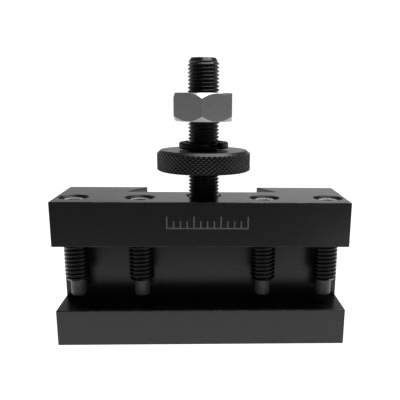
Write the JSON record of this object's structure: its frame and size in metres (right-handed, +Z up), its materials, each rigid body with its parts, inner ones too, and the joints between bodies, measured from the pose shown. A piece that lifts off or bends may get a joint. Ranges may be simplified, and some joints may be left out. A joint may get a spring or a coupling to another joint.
{
  "type": "quick change tool holder",
  "caption": "Dovetail turning tool holder for a lathe's quick change tool post, with clamp screws over an open tool slot and a height stud with knurled nut and lock nut.",
  "frame": {"origin": "centre of the block's underside", "axes": "+Z up along the stud, -Y out of the tool slot, +Y out of the dovetail, +X along the block to the right as seen from the slot side"},
  "size_m": [0.0888, 0.0313, 0.0856],
  "materials": {
    "black_oxide_steel": "black oxide on ground steel, oiled",
    "dark_screw_steel": "black oxide on cut threads",
    "bright_steel": "plain machined, slightly dull"
  },
  "bodies": {
    "holder": {"holder_body": "black_oxide_steel", "height_stud": "dark_screw_steel"},
    "height_washer": {"spring_washer": "black_oxide_steel"},
    "height_nut": {"knurled_nut": "black_oxide_steel"},
    "stud_lock_nut": {"lock_nut": "bright_steel"},
    "screw_1": {"clamp_screw_1": "dark_screw_steel"},
    "screw_2": {"clamp_screw_2": "dark_screw_steel"},
    "screw_3": {"clamp_screw_3": "dark_screw_steel"},
    "screw_4": {"clamp_screw_4": "dark_screw_steel"}
  },
  "joints": [
    {"name": "height_slide", "type": "slide", "parent": "holder", "child": "height_washer", "axis": [0, 0, 1], "range_m": [-0.0073, 0.0021]},
    {"name": "height_turn", "type": "hinge", "parent": "height_washer", "child": "height_nut", "pos_m": [0.00055, -0.00195, 0.05575], "axis": [0, 0, 1], "range_deg": [-2480, 710]},
    {"name": "lock_slide", "type": "slide", "parent": "holder", "child": "stud_lock_nut", "axis": [0, 0, 1], "range_m": [-0.0035, 0.0098]},
    {"name": "clamp_1", "type": "slide", "parent": "holder", "child": "screw_1", "axis": [0, 0, 1], "range_m": [-0.0023, 0.0165]},
    {"name": "clamp_2", "type": "slide", "parent": "holder", "child": "screw_2", "axis": [0, 0, 1], "range_m": [-0.0023, 0.0165]},
    {"name": "clamp_3", "type": "slide", "parent": "holder", "child": "screw_3", "axis": [0, 0, 1], "range_m": [-0.0023, 0.0165]},
    {"name": "clamp_4", "type": "slide", "parent": "holder", "child": "screw_4", "axis": [0, 0, 1], "range_m": [-0.0023, 0.0165]}
  ],
  "couplings": [
    {"joint": "height_slide", "follows": "height_turn", "m_per_rad": 0.00016844}
  ]
}
